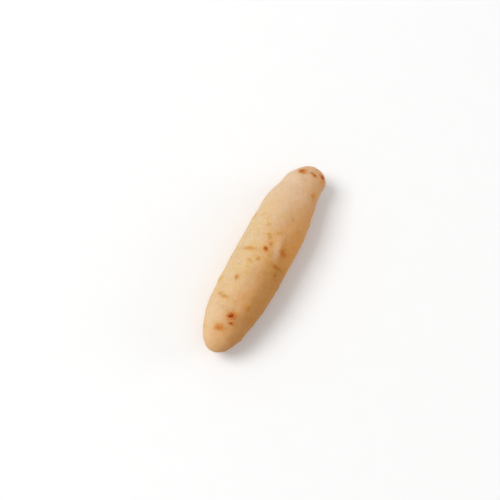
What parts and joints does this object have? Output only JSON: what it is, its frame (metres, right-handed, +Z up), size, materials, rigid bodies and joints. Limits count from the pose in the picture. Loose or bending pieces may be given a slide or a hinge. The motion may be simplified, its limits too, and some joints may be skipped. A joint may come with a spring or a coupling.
{
  "type": "cheese straw",
  "caption": "Baked finger-shaped stick of cheese dough with a blunt, slightly crooked end, a slimmer far end, browned bits of cheese in a pale crust and a flat baked underside.",
  "frame": {"origin": "under the middle of the straw's box, on the surface that it lies on", "axes": "+X along the straw towards its blunt, crooked end, +Y towards the side that is seen on the left when the blunt end points up, +Z up, through the shown side"},
  "size_m": [0.13, 0.034, 0.0305],
  "materials": {
    "baked_crust": "matte, pale golden baked dough",
    "toasted_cheese": "satin, dark toasted cheese",
    "golden_cheese": "satin, golden baked cheese",
    "yellow_cheese": "satin, dull yellow baked cheese"
  },
  "bodies": {
    "root": {"cheese_straw": "baked_crust"}
  },
  "joints": []
}
